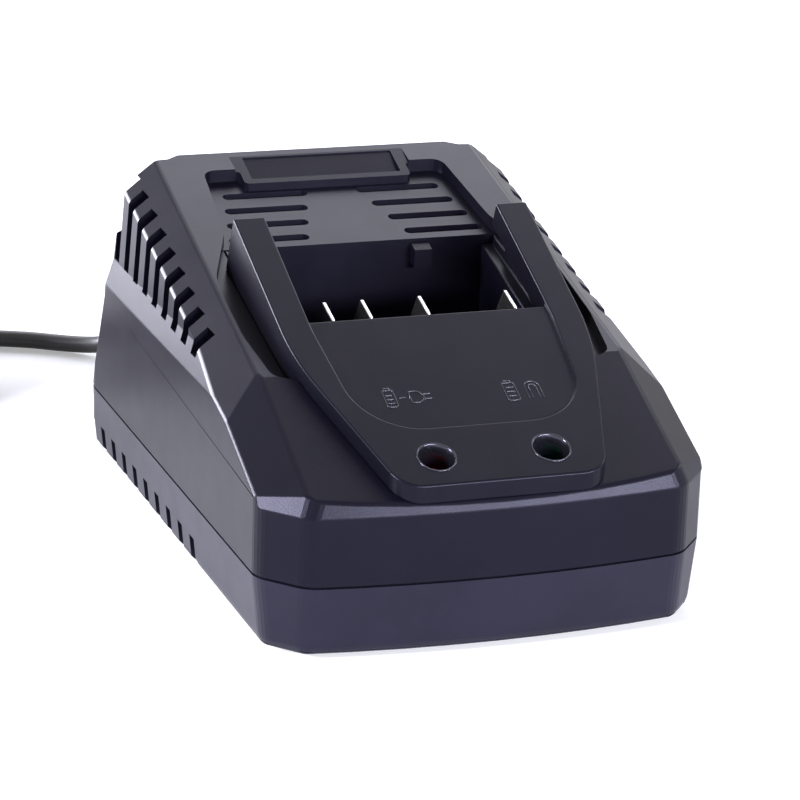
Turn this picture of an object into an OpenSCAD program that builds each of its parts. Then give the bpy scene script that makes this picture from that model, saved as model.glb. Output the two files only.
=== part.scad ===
// Battery charger for slide-on tool battery packs.
// Two moulded shells with a raised dock on the sloping front, terminals and status lights,
// the mains electronics inside, and a mains cord wound up beside the body.
// Frame: X right, Y to the back, Z up; the origin is under the middle of the body, on the table.

/* [Body] */
// Width of the body
body_w = 96; // [95:1:110]
// Length of the body, front bow to rear wall
body_l = 150; // [142:1:170]
// Wall thickness of both shells
wall = 2.4; // [1.8:0.1:3]
// Height of the line where the shells meet
parting_z = 15.6; // [13:0.1:18]
// How far the front face bulges in plan
front_bow = 3.2; // [1.5:0.1:5]
// Corner cut of the front, across
corner_x = 8; // [5:0.5:11]
// Corner cut of the front, along
corner_y = 9.2; // [6:0.2:12]
// How far the tray walls lean in at the table
tray_draft = 1.5; // [0.5:0.1:3]
// Height of the bevel that runs round the front
bevel_z = 30.2; // [28:0.1:33]
// Rise of that bevel
bevel_rise = 3.5; // [2:0.1:4.5]
// Set-back of that bevel
bevel_in = 1.2; // [0.8:0.1:3]
// Rise of the sloping front, degrees
front_slope = 23.8; // [22:0.1:26]
// Rise of the rear top, degrees
top_slope = 15.2; // [13:0.1:17]
// Ridge between the two slopes, behind the front corners
ridge_d = 34.8; // [33:0.1:37]
// End of the rear top, behind the front corners
top_end_d = 124; // [120:0.5:128]

/* [Dock] */
// Gap between the lips that hold the battery
lip_gap = 52.6; // [48:0.2:54]
// Width across the outside of the dock arms
dock_w = 67; // [64:0.5:68]
// Rise of the dock above the sloping front
dock_rise = 3.9; // [3:0.1:5]
// Length of the dock behind the front corners
arm_end_d = 76.1; // [70:0.5:80]
// Thickness of the lips
lip_t = 6.2; // [4.5:0.1:7]
// Depth of the panel below the dock's top
panel_drop = 1; // [0.5:0.1:1.5]
// Rear edge of the panel, behind the front corners
panel_end_d = 45.5; // [43:0.5:48]
// Rear wall of the battery pocket, behind the front corners
pocket_end_d = 88.3; // [85:0.5:92]
// Height of the pocket floor
pocket_z = 41.8; // [40:0.2:44]
// Depth of the recess round the dock
recess_depth = 2.8; // [1.5:0.1:3.4]

/* [Vents] */
// Slots in each upper side
side_vents = 9; // [5:1:9]
// Spacing of the upper side slots
side_vent_pitch = 8.03; // [7.5:0.01:8.2]
// Width of the upper side slots
side_vent_w = 3.8; // [2.5:0.1:4.4]
// Slots in each side of the tray
tray_vents = 10; // [4:1:10]
// Spacing of the tray slots
tray_vent_pitch = 9.24; // [8:0.01:9.6]
// Width of the tray slots
tray_vent_w = 3.4; // [2:0.1:4.5]
// Rows of slots in the recess
top_vents = 4; // [2:1:4]
// Spacing of those rows
top_vent_pitch = 6.1; // [5.5:0.1:6.3]
// Width of those slots
top_vent_w = 2.4; // [1.5:0.1:3]

/* [Lights] */
// Distance of each light from the middle
led_x = 12.2; // [9:0.1:15]
// Place of the lights behind the front corners
led_d = 4.9; // [4:0.1:7]
// Diameter of a light well at the top
well_d = 7.8; // [6.5:0.1:9]
// Diameter of a light
led_dia = 5; // [3:0.1:5]

/* [Inside] */
// Thickness of the circuit board
board_t = 1.6; // [1:0.1:2]
// Height of the board above the tray floor
board_lift = 5; // [4:0.5:6]
// Width of the board
board_w = 70; // [66:1:72]
// Diameter of the case screws
screw_d = 3; // [2.5:0.1:4]

/* [Feet and hangers] */
// Height by which the feet lift the tray
foot_stand = 0.8; // [0.5:0.1:1.5]
// Diameter of a foot
foot_d = 9; // [7:0.5:11]
// Spacing of the two keyholes
hanger_pitch = 70; // [50:1:76]
// Width of a keyhole's neck
hanger_slot = 4.4; // [3.5:0.1:5]
// Diameter of a keyhole's mouth
hanger_mouth = 8.6; // [7.5:0.1:10]

/* [Cord] */
// Diameter of the mains cord
cord_d = 4.2; // [4:0.1:6]
// Middle diameter of the wound coil
coil_mid_d = 50; // [44:0.5:50]
// Turns in the coil
coil_turns_total = 9.25; // [7.25:1:11.25]

/* [Hidden] */
$fn = 48;
big = 400;                                  // larger than anything here
seat = 0.3;                                 // clearance between pieces that only rest near each other
snug = 0.15;                                // clearance of a moulded fit
half_w = body_w / 2;
front_y = front_bow - body_l / 2;           // y of the front corners; "d" sizes count from here
rear_y = body_l / 2;
tray_floor = foot_stand + wall;
bow_r = (pow(half_w - corner_x, 2) + pow(front_bow, 2)) / (2 * front_bow);
edge_z = bevel_z + bevel_rise;              // where the sloping front begins
ridge_z = edge_z + (ridge_d - bevel_in) * tan(front_slope);
corner_turn = atan2(corner_y, corner_x);    // direction of a front corner face

function front_z(d) = edge_z + (d - bevel_in) * tan(front_slope);
function top_z(d) = ridge_z + (d - ridge_d) * tan(top_slope);
function floor_z(d) = top_z(d) - recess_depth;
function dock_z(d) = front_z(d) + dock_rise;

// ---- outline helpers -------------------------------------------------------------------------

function unit(v) = v / norm(v);
function left_of(v) = [-v[1], v[0]];

// Corner of a convex counter-clockwise outline, moved inwards by t
function inner_corner(a, b, c, t) =
    let (m = left_of(unit(b - a)), n = left_of(unit(c - b)))
    b + t * (m + n) / (1 + m * n);
function inset(path, t) =
    let (n = len(path))
    [for (i = [0:n - 1]) inner_corner(path[(i + n - 1) % n], path[i], path[(i + 1) % n], t)];

// Outline whose corners [x, y, radius] are rounded with arcs of a few steps
function round_corner(a, b, c, r, steps) =
    let (
        u = unit(a - b),
        v = unit(c - b),
        half = acos(u * v) / 2,
        mid = b + unit(u + v) * r / sin(half),
        from = b + u * r / tan(half) - mid,
        to = b + v * r / tan(half) - mid,
        sweep = acos(unit(from) * unit(to)),
        turn = from[0] * to[1] - from[1] * to[0] > 0 ? sweep : -sweep
    )
    r < 0.01 ? [b] : [for (k = [0:steps]) mid + rotate_by(from, turn * k / steps)];
function rotate_by(v, w) = [v[0] * cos(w) - v[1] * sin(w), v[0] * sin(w) + v[1] * cos(w)];
function flat_of(p) = [p[0], p[1]];
function rounded(path, steps = 4) =
    let (n = len(path))
    [for (i = [0:n - 1])
        each round_corner(flat_of(path[(i + n - 1) % n]), flat_of(path[i]),
                          flat_of(path[(i + 1) % n]), path[i][2], steps)];
// A right half outline, listed front to back, closed by its mirror image
function both_halves(half) =
    concat(half, [for (i = [len(half) - 1:-1:0]) [-half[i][0], half[i][1], half[i][2]]]);

module along_x(length) { rotate([90, 0, 90]) linear_extrude(length, center = true) children(); }
module along_y(length) { rotate([90, 0, 0]) linear_extrude(length, center = true) children(); }
module both_sides() { children(); mirror([1, 0, 0]) children(); }
module at_four(x, d_front, d_rear) {
    for (sx = [-1, 1])
        for (d = [d_front, d_rear])
            translate([sx * x, front_y + d, 0]) children();
}
module ring(r_out, r_in, h) {
    difference() {
        cylinder(r = r_out, h = h);
        translate([0, 0, -1]) cylinder(r = r_in, h = h + 2);
    }
}

// Everything under the plane through a, b, c (outward side up), moved inwards by t
module under_plane(a, b, c, t) {
    n = unit(cross(b - a, c - a));
    tilt = acos(n[2]);
    heading = atan2(n[1], n[0]);
    translate(a - n * t)
        rotate([0, tilt, heading])
            translate([-big, -big, -2 * big]) cube([2 * big, 2 * big, 2 * big]);
}

// ---- body form, shared by both shells ---------------------------------------------------------

shoulder_z = 43.2;                          // outer crease of the shoulder under the side vents
shoulder_in = 1.7;                          // how far the vented wall stands in from the side
wall_foot_z = 49.3;                         // foot of the vented wall
wall_top_in = 2.9;                          // set-back of the vented wall at its top
wall_top_z = 66.2;
band_in = 8.1;                              // width of the sloping band beside the top, at the ridge
band_taper = 1.5;                           // how much the band moves in towards the back, degrees
band_fall = 0.8;                            // drop of the band per unit outwards
cheek_fall = 0.66;                          // drop of the cheeks beside the sloping front
rear_lean = 7.8;                            // lean of the rear wall, parting to shoulder
rear_foot_d = top_end_d + 3.5;              // foot of the upper block's rear face
rear_foot_z = 50.3;
rear_corner_r = 12;
bottom_edge = 1.2;

// Bottom edge of a wall at x: bevelled on the outer form, plain on the forms inside it
function foot_edge(x, t) =
    t > 0 ? [[x, foot_stand]] : [[x - bottom_edge, foot_stand], [x, foot_stand + bottom_edge]];
// Outline of the walls at a vertical cut through a front face: [outwards, up]
function edge_path(t, steeper = 1) = concat(
    [[-big, foot_stand]],
    foot_edge(-tray_draft / steeper, t),
    [[0, parting_z], [0, bevel_z]],
    [[-bevel_in * 16 * steeper, bevel_z + bevel_rise * 16], [-big, bevel_z + bevel_rise * 16]]
);
// Right half of the cross section, bottom to top
function side_half(t) = concat(
    foot_edge(half_w - tray_draft, t),
    [
        [half_w, parting_z],
        [half_w, shoulder_z],
        [half_w - shoulder_in, wall_foot_z],
        [half_w - wall_top_in, wall_top_z],
        [half_w - wall_top_in - 0.7, wall_top_z + 10]
    ]
);
function side_path(t) =
    let (half = side_half(t))
    concat(half, [for (i = [len(half) - 1:-1:0]) [-half[i][0], half[i][1]]]);
// Lengthways section: [y, z], from the tray's front, round by the rear
function long_path(t) = concat(
    [[front_y - 40, foot_stand]],
    foot_edge(rear_y - tray_draft, t),
    [
        [rear_y, parting_z],
        [rear_y - rear_lean, shoulder_z - 0.6],
        [front_y + rear_foot_d, rear_foot_z],
        [front_y + top_end_d, top_z(top_end_d)],
        [front_y + ridge_d, ridge_z],
        [front_y - 40, front_z(-40)]
    ]
);

module corner_face(t) {
    translate([half_w - corner_x, front_y, 0])
        rotate([0, 0, corner_turn - 90]) along_y(2 * big) polygon(inset(edge_path(t, 1.4), t));
}

module band(t) {
    lean = tan(band_taper);
    ridge_in = half_w - band_in;
    a = [ridge_in, front_y + ridge_d, ridge_z];
    b = [ridge_in - 80 * lean, front_y + ridge_d + 80, top_z(ridge_d + 80)];
    c = a + [10, 0, -10 * band_fall];
    under_plane(a, c, b, t);
}

module cheek(t) {
    a = [half_w - band_in - 0.5, front_y + ridge_d, ridge_z];
    b = [half_w - corner_x - 0.4, front_y + bevel_in, edge_z];
    c = a + [10, 0, -10 * cheek_fall];
    under_plane(a, b, c, t);
}

module body_form(t) {
    intersection() {
        along_y(2 * big) polygon(inset(side_path(t), t));
        along_x(2 * big) polygon(inset(long_path(t), t));
        bowed_front(t);
        corner_face(t);
        mirror([1, 0, 0]) corner_face(t);
        band(t);
        mirror([1, 0, 0]) band(t);
        cheek(t);
        mirror([1, 0, 0]) cheek(t);
        rear_round(t);
        rear_corner(t);
        mirror([1, 0, 0]) rear_corner(t);
    }
}

// Rear corner of the upper block, turned in by two planes
module rear_corner(t) {
    top = top_z(top_end_d);
    edge = [half_w - 13.5, front_y + top_end_d - 1.6, top];
    foot = [half_w - 13.5, front_y + rear_foot_d - 1.6, rear_foot_z];
    under_plane([14, front_y + top_end_d, top], edge, foot, t);
    under_plane(edge, [half_w - 9.2, front_y + top_end_d - 5.4, top],
                [half_w - shoulder_in, front_y + rear_foot_d - 4, wall_foot_z], t);
}

// The bowed front, a run of narrow flats round the bow's centre
module bowed_front(t) {
    flats = 8;
    sweep = 2 * asin((half_w - corner_x) / bow_r);
    translate([0, front_y - front_bow + bow_r, 0])
        intersection_for (k = [0:flats - 1])
            rotate([0, 0, -90 + sweep * ((k + 0.5) / flats - 0.5)])
                translate([bow_r, 0, 0]) along_y(2 * big) polygon(inset(edge_path(t), t));
}

// Rounds the two rear corners in plan
module rear_round(t) {
    w = half_w - t;
    path = rounded([
        [w, front_y - 60, 0], [w, rear_y - t, rear_corner_r - t],
        [-w, rear_y - t, rear_corner_r - t], [-w, front_y - 60, 0]
    ], 6);
    translate([0, 0, -10]) linear_extrude(big) polygon(path);
}

module slab(z_low, z_high) {
    translate([-big, -big, z_low]) cube([2 * big, 2 * big, z_high - z_low]);
}

// ---- fixings shared by both shells -------------------------------------------------------------

boss_x = half_w - 8.2;
boss_front_d = 17;
boss_rear_d = body_l - 19;
boss_r = screw_d / 2 + 2.4;
screw_bore = screw_d / 2 + 0.2;
head_r = screw_d * 0.95;
head_t = 2.2;
head_seat_z = foot_stand + 4.4;             // underside seat of the screw heads
pilot_r = screw_d / 2;
screw_tip_z = parting_z + 9;

module case_bosses_tray() {
    at_four(boss_x, boss_front_d, boss_rear_d)
        translate([0, 0, foot_stand]) cylinder(r = boss_r, h = parting_z - 0.2 - foot_stand);
}
module case_bosses_cover() {
    at_four(boss_x, boss_front_d, boss_rear_d)
        translate([0, 0, parting_z]) cylinder(r = boss_r, h = 60);
}

board_top = tray_floor + board_lift + board_t;
board_front_d = 12;
board_rear_d = 128;
board_post_x = board_w / 2 - 5;
board_post_front_d = 30;
board_post_rear_d = 122;
board_head_r = 2.4;
board_post_r = 3.2;
board_screw_d = 2.5;

tongue_h = 1.8;
parting_gap = 0.5;

// ---- dock shape --------------------------------------------------------------------------------

dock_half = dock_w / 2;
dock_front_d = -2.3;
nose_half = dock_half - 12;                 // half width where the narrowed front ends
inner_half = lip_gap / 2;
panel_front_d = 12.8;
window_in = 1.6;                            // rim of the dock that rests round the window
window_front_d = 34;
tub_wall = 3.9;
tub_end_d = arm_end_d + 4;
tub_half = dock_half - window_in - snug;
pocket_half = tub_half - tub_wall;
slot_half = dock_half - 2.9;
slot_front_d = 44;
panel_t = 2.3;

function dock_outline(t) = rounded(both_halves([
    [nose_half - t * 0.75, front_y + dock_front_d + t, max(0.5, 6.5 - t)],
    [dock_half - 0.6 - t, front_y + 34.5, 60],
    [dock_half - t, front_y + 100, 0]
]), 8);
function panel_outline(t) = rounded(both_halves([
    [inner_half - 2.6 + t, front_y + panel_front_d - t, 14 + t],
    [inner_half + t, front_y + 42, 20],
    [inner_half + t, front_y + 120, 0]
]), 10);

recess_front_d = 33;
plate_half = 19.6;                          // bare plate at the rear of the recess
plate_front_d = top_end_d - 12;
plate_sink = 1.4;                           // how far the plate's front edge drops
notch_end_d = top_end_d - 7.4;
recess_outline = rounded(both_halves([
    [dock_half - 2.5, front_y + recess_front_d, 0],
    [dock_half + 3.4, front_y + 35, 3],
    [dock_half + 5.1, front_y + 50, 20],
    [dock_half + 4.7, front_y + arm_end_d - 4, 22],
    [dock_half - 2.9, front_y + pocket_end_d + 2.7, 12],
    [dock_half - 5.3, front_y + notch_end_d, 3],
    [plate_half, front_y + notch_end_d, 1],
    [plate_half, front_y + plate_front_d, 1]
]), 4);

// Everything above the recess floor
module above_floor(extra = 0) {
    along_x(2 * big) polygon([
        [front_y - 20, floor_z(-20) - extra], [front_y + 160, floor_z(160) - extra],
        [front_y + 160, 200], [front_y - 20, 200]
    ]);
}
// Everything below the underside of the dock's rim: the front slope, then the recess floor
module under_dock() {
    along_x(2 * big) polygon([
        [front_y - 20, 0], [front_y + 160, 0], [front_y + 160, floor_z(160)],
        [front_y + recess_front_d, floor_z(recess_front_d)],
        [front_y + recess_front_d, front_z(recess_front_d)], [front_y - 20, front_z(-20)]
    ]);
}
module below_dock_top(drop = 0) {
    along_x(2 * big) polygon([
        [front_y - 20, 0], [front_y + 160, 0],
        [front_y + 160, dock_z(160) - drop], [front_y - 20, dock_z(-20) - drop]
    ]);
}
module window(t, d_front, d_rear) {
    intersection() {
        linear_extrude(big) polygon(dock_outline(window_in + t));
        translate([-big, front_y + d_front, 0]) cube([2 * big, d_rear - d_front, big]);
    }
}

// ---- light wells -------------------------------------------------------------------------------

module at_lights(depth) {
    for (sx = [-1, 1])
        translate([sx * led_x, front_y + led_d, dock_z(led_d)])
            rotate([front_slope, 0, 0])
                translate([0, 0, -depth]) children();
}
well_depth = 3.9;
led_bore_r = led_dia / 2 + 0.15;
led_tip = 3.9;                              // how deep the lights' domes sit below the dock's top
led_body_l = 8.6;
display_depth = led_tip + led_body_l;       // top of the small board that carries them
display_w = 40;
display_l = 11;
display_t = 1.2;
display_post_x = 17;

// ---- cover -------------------------------------------------------------------------------------

recess_rim = dock_half + 7.2;               // half width of the thick floor under the recess
module cover_cavity() {
    difference() {
        intersection() {
            body_form(wall);
            slab(0, 200);
        }
        // floor left under the recess
        intersection() {
            translate([-recess_rim, front_y + recess_front_d - wall, 0])
                cube([2 * recess_rim, top_end_d - recess_front_d, big]);
            above_floor(wall);
        }
        // wall behind the battery pocket
        translate([-dock_half + window_in, front_y + pocket_end_d, pocket_z - wall])
            cube([2 * (dock_half - window_in), wall, 60]);
        coding_rib();
        case_bosses_cover();
        display_posts();
    }
}

// One L-shaped slot: down the vented wall, and over its edge into the sloping band
module side_vent(k) {
    d = top_end_d - 1.7 - side_vent_pitch * k;
    foot = wall_foot_z + 0.3 - 0.045 * side_vent_pitch * k;
    edge = top_z(d) - 6;
    edge_x = half_w - wall_top_in
        + (wall_top_z - edge) * (wall_top_in - shoulder_in) / (wall_top_z - wall_foot_z);
    translate([0, front_y + d, 0]) {
        translate([half_w - 5, -side_vent_w / 2, foot]) cube([10, side_vent_w, edge - foot - 0.2]);
        translate([edge_x, 0, edge])
            rotate([0, atan(band_fall), 0])
                translate([-vent_reach, -side_vent_w / 2, -5]) cube([vent_reach + 0.6, side_vent_w, 10]);
    }
}
vent_reach = 4.4;                           // how far a slot runs up the sloping band

module top_vent(k) {
    d = plate_front_d - 2 - top_vent_pitch * k;
    inner = 7 + 1.75 * k;
    outer = 24.2 + 1.3 * k;
    for (x = [inner, outer])
        translate([x, front_y + d, floor_z(d) - 8]) cylinder(d = top_vent_w, h = 12);
    translate([inner, front_y + d - top_vent_w / 2, floor_z(d) - 8])
        cube([outer - inner, top_vent_w, 12]);
}

// The bare plate drops a little to the front and has a shallow sunk field
module plate_cut() {
    d_rear = top_end_d - 2;
    along_x(2 * (plate_half + 1)) polygon([
        [front_y + d_rear, top_z(d_rear)], [front_y + d_rear, 200], [front_y + plate_front_d - 1, 200],
        [front_y + plate_front_d - 1, top_z(plate_front_d) - plate_sink]
    ]);
    along_x(2 * (plate_half - 2)) polygon([
        [front_y + d_rear - 0.6, top_z(d_rear) - 0.5], [front_y + d_rear - 0.6, 200],
        [front_y + plate_front_d + 1.6, 200],
        [front_y + plate_front_d + 1.6, top_z(plate_front_d) - plate_sink - 0.15]
    ]);
}

module coding_rib() {
    key_x = 11.3;
    key_w = 4;
    translate([key_x + key_w / 2, front_y + pocket_end_d, 0])
        along_x(key_w) polygon([
            [1, floor_z(pocket_end_d) - 0.4], [1, floor_z(pocket_end_d) - 5.2],
            [-3, floor_z(pocket_end_d) - 6], [-3, floor_z(pocket_end_d) - 1.8]
        ]);
}

module display_posts() {
    for (sx = [-1, 1])
        translate([sx * display_post_x, front_y + led_d, dock_z(led_d)])
            rotate([front_slope, 0, 0])
                translate([0, 0, -display_depth]) cylinder(r = 2.4, h = display_depth);
}

module top_cover() {
    color([0.13, 0.13, 0.15])
    difference() {
        intersection() {
            body_form(0);
            slab(parting_z, 200);
        }
        cover_cavity();
        // recess round the dock, and the window the dock passes through
        intersection() {
            linear_extrude(big) polygon(recess_outline);
            above_floor();
        }
        difference() {
            window(0, window_front_d, pocket_end_d);
            coding_rib();
        }
        plate_cut();
        // shadow line along the parting
        difference() {
            slab(parting_z - 1, parting_z + parting_gap);
            body_form(wall / 2);
        }
        // room for the tray's tongue
        intersection() {
            body_form(wall * 0.55 - snug);
            slab(parting_z - 1, parting_z + tongue_h + seat);
        }
        both_sides() for (k = [0:side_vents - 1]) side_vent(k);
        both_sides() for (k = [0:top_vents - 1]) top_vent(k);
        at_lights(14) cylinder(r = led_bore_r, h = 14);
        at_four(boss_x, boss_front_d, boss_rear_d)
            translate([0, 0, parting_z - 1]) cylinder(r = pilot_r, h = screw_tip_z - parting_z + 2);
        for (sx = [-1, 1])
            translate([sx * display_post_x, front_y + led_d, dock_z(led_d)])
                rotate([front_slope, 0, 0])
                    translate([0, 0, -display_depth - 1]) cylinder(r = 0.9, h = 6);
        gland_seat();
    }
}

// ---- tray --------------------------------------------------------------------------------------

gland_x = -20;
gland_r = 4.2;
gland_z = parting_z + 4.6;
module gland_seat() {
    translate([gland_x, rear_y - 14, gland_z]) rotate([-90, 0, 0]) cylinder(r = gland_r, h = 20);
}

hanger_d = (boss_front_d + boss_rear_d) / 2;
hanger_travel = 6;
hanger_room = 2.2;                          // room for a screw head behind the tray floor
module stadium(w, travel, h) {
    cylinder(d = w, h = h);
    translate([-w / 2, 0, 0]) cube([w, travel, h]);
    translate([0, travel, 0]) cylinder(d = w, h = h);
}
module at_hangers() {
    for (s = [-1, 1])
        translate([0, front_y + hanger_d + s * hanger_pitch / 2, 0]) children();
}

module tray_vent(k) {
    d = body_l - 9.6 - tray_vent_pitch * k;
    translate([half_w - 5.4, front_y + d - tray_vent_w / 2, foot_stand - 1])
        cube([10, tray_vent_w, 7.2]);
}

module base_tray() {
    color([0.12, 0.12, 0.14])
    difference() {
        union() {
            difference() {
                intersection() {
                    body_form(0);
                    slab(0, parting_z);
                }
                intersection() {
                    body_form(wall);
                    slab(tray_floor, 200);
                }
            }
            // tongue that locates the cover
            difference() {
                intersection() {
                    body_form(wall * 0.55);
                    slab(parting_z - 1, parting_z + tongue_h);
                }
                intersection() {
                    body_form(wall);
                    slab(parting_z - 2, 200);
                }
            }
            case_bosses_tray();
            at_four(board_post_x, board_post_front_d, board_post_rear_d)
                translate([0, 0, foot_stand]) cylinder(r = board_post_r, h = wall + board_lift);
            at_hangers()
                translate([0, 0, foot_stand]) stadium(hanger_mouth + 2.4, hanger_travel, wall + hanger_room + 1);
        }
        at_four(boss_x, boss_front_d, boss_rear_d) {
            cylinder(r = screw_bore, h = parting_z + 1);
            cylinder(r = head_r + 0.3, h = head_seat_z);
        }
        at_four(board_post_x, board_post_front_d, board_post_rear_d)
            translate([0, 0, tray_floor]) cylinder(r = board_screw_d / 2 - 0.1, h = 10);
        at_hangers() {
            cylinder(d = hanger_mouth, h = tray_floor + 1);
            stadium(hanger_slot, hanger_travel, tray_floor + 1);
            translate([0, 0, tray_floor]) stadium(hanger_mouth, hanger_travel, hanger_room);
        }
        at_four(foot_x, foot_front_d, foot_rear_d)
            cylinder(d = foot_d + 2 * snug, h = foot_stand + foot_sunk);
        both_sides() for (k = [0:tray_vents - 1]) tray_vent(k);
        gland_seat();
    }
}

// ---- feet and screws ---------------------------------------------------------------------------

foot_x = half_w - 14;
foot_front_d = 40;
foot_rear_d = 112;
foot_sunk = 1.2;

module rubber_feet() {
    color([0.2, 0.2, 0.2])
    at_four(foot_x, foot_front_d, foot_rear_d) {
        cylinder(d1 = foot_d - 1, d2 = foot_d, h = foot_stand);
        translate([0, 0, foot_stand]) cylinder(d = foot_d, h = foot_sunk);
    }
}

module case_screws() {
    color("silver")
    at_four(boss_x, boss_front_d, boss_rear_d) {
        difference() {
            translate([0, 0, head_seat_z - head_t]) cylinder(r = head_r, h = head_t);
            translate([0, 0, head_seat_z - head_t - 0.1]) cylinder(r = 0.9, h = 1.4, $fn = 6);
        }
        translate([0, 0, head_seat_z]) cylinder(r = pilot_r - 0.05, h = screw_tip_z - head_seat_z);
    }
}

// ---- dock --------------------------------------------------------------------------------------

module dock_block() {
    intersection() {
        linear_extrude(big) polygon(dock_outline(0));
        below_dock_top();
        // the arms end in a face that leans back
        along_x(2 * big) polygon([
            [front_y - 20, 0], [front_y + arm_end_d + 7, 0],
            [front_y + arm_end_d + 5.4, floor_z(arm_end_d)],
            [front_y + arm_end_d, dock_z(arm_end_d)], [front_y + arm_end_d, 200],
            [front_y - 20, 200]
        ]);
    }
}

module rail_slot() {
    mouth_d = arm_end_d + 3;
    along_x(2 * slot_half) polygon([
        [front_y + slot_front_d, ledge_z(slot_front_d)],
        [front_y + 100, ledge_z(100)], [front_y + 100, 200], [front_y + mouth_d, 200],
        [front_y + mouth_d, dock_z(mouth_d) - lip_t],
        [front_y + slot_front_d, dock_z(slot_front_d) - lip_t]
    ]);
}
function ledge_z(d) = floor_z(d) - 2;

module battery_dock() {
    color([0.1, 0.1, 0.12])
    difference() {
        union() {
            difference() {
                dock_block();
                under_dock();
            }
            // tub that hangs through the window of the cover
            intersection() {
                window(snug, window_front_d + snug, pocket_end_d - seat);
                translate([-big, -big, pocket_z - wall]) cube([2 * big, 2 * big, big]);
                along_x(2 * big) polygon([
                    [front_y, 0], [front_y + 100, 0], [front_y + 100, floor_z(100)],
                    [front_y + tub_end_d, floor_z(tub_end_d)],
                    [front_y + tub_end_d, floor_z(tub_end_d) + 0.5], [front_y, floor_z(0) + 0.5]
                ]);
                below_dock_top(0.2);
            }
        }
        // panel, a little below the top of the dock
        intersection() {
            linear_extrude(big) polygon(panel_outline(0));
            difference() {
                slab(0, 200);
                below_dock_top(panel_drop);
            }
        }
        // open between the arms, behind the panel
        translate([-inner_half, front_y + panel_end_d, pocket_z]) cube([2 * inner_half, 100, 100]);
        intersection() {
            translate([-pocket_half, front_y + panel_end_d, pocket_z]) cube([2 * pocket_half, 100, 100]);
            below_dock_top(lip_t);
        }
        rail_slot();
        // lips have a bevel on their inner edge
        both_sides()
            translate([inner_half, front_y + panel_end_d, dock_z(panel_end_d)])
                rotate([front_slope, 0, 0])
                    rotate([0, -35, 0]) translate([-6, 0.6, 0]) cube([7.4, 60, 4]);
        contact_room();
        at_lights(12) cylinder(r = led_bore_r, h = 12);
        at_lights(well_depth) cylinder(r1 = led_bore_r, r2 = well_d / 2, h = well_depth + 0.01);
        blade_tails(seat);
    }
}

// ---- terminals ---------------------------------------------------------------------------------

contact_half = pocket_half - 1;
contact_front_d = 37.4;
contact_top = pocket_z + 7.6;
module contact_room() {
    translate([-contact_half - snug, front_y + contact_front_d - snug, pocket_z])
        cube([2 * (contact_half + snug), panel_end_d - contact_front_d + 1, contact_top - pocket_z + seat]);
}
blade_x = [-20.2, -11.9, 0.8, 20.2];
blade_t = 0.8;
tail_d = 40.4;

module blade_shape(grow) {
    translate([0, front_y, 0])
    along_x(blade_t + 2 * grow) polygon([
        [tail_d - 1 - grow, pocket_z + 0.6 - grow],
        [panel_end_d + 15, pocket_z + 0.6 - grow],
        [panel_end_d + 15.6, pocket_z + 4],
        [panel_end_d + 11.5, pocket_z + 11],
        [panel_end_d + 7.9, pocket_z + 16],
        [panel_end_d + 1.4, pocket_z + 14],
        [panel_end_d + 0.6, pocket_z + 5.6],
        [tail_d - 1 - grow, pocket_z + 5.6 + grow]
    ]);
}
module blade_tails(grow) {
    for (x = blade_x)
        translate([x, front_y + tail_d, board_top - board_t - 1.2])
            translate([-blade_t / 2 - grow, -1 - grow, 0])
                cube([blade_t + 2 * grow, 2 + 2 * grow, pocket_z + 1 - board_top + board_t + 1.2]);
}
module blade(i) {
    color("silver")
    translate([blade_x[i], 0, 0]) {
        blade_shape(0);
        translate([-blade_t / 2, front_y + tail_d - 1, board_top - board_t - 1.2])
            cube([blade_t, 2, pocket_z + 2 - board_top + board_t + 1.2]);
    }
}
module contact_block() {
    color([0.16, 0.16, 0.17])
    difference() {
        translate([-contact_half, front_y + contact_front_d, pocket_z])
            cube([2 * contact_half, panel_end_d - contact_front_d - 0.2, contact_top - pocket_z]);
        for (x = blade_x) translate([x, 0, 0]) {
            blade_shape(0.02);
            translate([-blade_t / 2 - 0.02, front_y + tail_d - 1.02, pocket_z - 1]) cube([blade_t + 0.04, 2.04, 4]);
        }
    }
}

// ---- lights ------------------------------------------------------------------------------------

module led(side) {
    translate([side * led_x, front_y + led_d, dock_z(led_d)])
        rotate([front_slope, 0, 0])
            translate([0, 0, -display_depth]) {
                cylinder(d = led_dia + 0.8, h = 1);
                cylinder(d = led_dia, h = led_body_l - led_dia / 2);
                translate([0, 0, led_body_l - led_dia / 2]) sphere(d = led_dia);
            }
}
module red_led() { color([0.7, 0.1, 0.12]) led(-1); }
module green_led() { color([0.1, 0.6, 0.25]) led(1); }

module display_board() {
    color([0.1, 0.32, 0.18])
    translate([0, front_y + led_d, dock_z(led_d)])
        rotate([front_slope, 0, 0])
            difference() {
                translate([-display_w / 2, -display_l / 2, -display_depth - display_t])
                    cube([display_w, display_l, display_t]);
                for (sx = [-1, 1])
                    translate([sx * display_post_x, 0, -display_depth - display_t - 1])
                        cylinder(r = 1.15, h = display_t + 2);
            }
}
module display_screws() {
    color("silver")
    for (sx = [-1, 1])
        translate([sx * display_post_x, front_y + led_d, dock_z(led_d)])
            rotate([front_slope, 0, 0])
                translate([0, 0, -display_depth - display_t]) {
                    translate([0, 0, -1.4]) cylinder(r = 1.9, h = 1.4);
                    cylinder(r = 0.85, h = display_t + 4);
                }
}

// ---- electronics -------------------------------------------------------------------------------

module on_board(x, d) { translate([x, front_y + d, board_top]) children(); }

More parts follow.
